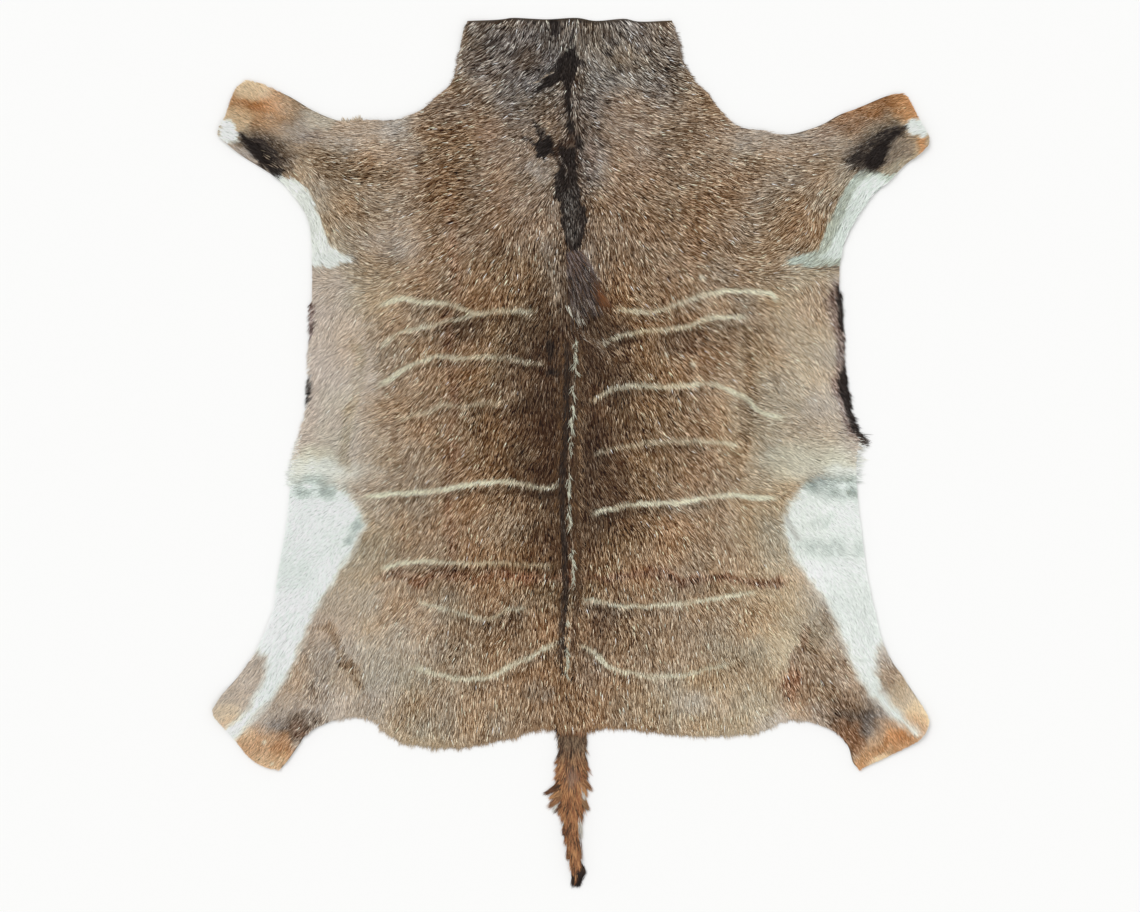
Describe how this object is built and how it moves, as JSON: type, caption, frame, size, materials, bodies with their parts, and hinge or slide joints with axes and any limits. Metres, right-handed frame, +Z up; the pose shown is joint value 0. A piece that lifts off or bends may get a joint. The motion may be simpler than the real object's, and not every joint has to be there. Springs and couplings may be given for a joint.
{
  "type": "kudu hide",
  "caption": "Whole kudu hide with the hair on and the tail, trimmed at the neck and the legs, laid flat with the hair side up as a floor rug.",
  "frame": {"origin": "on the floor under the middle of the hide's bounding box", "axes": "+Z up out of the hair side, +Y along the spine to the neck, +X to the right as seen from above"},
  "size_m": [1.43, 1.7439, 0.013],
  "materials": {
    "hide_coat": "short matte hair on tanned skin"
  },
  "bodies": {
    "root": {"hide": "hide_coat"}
  },
  "joints": []
}
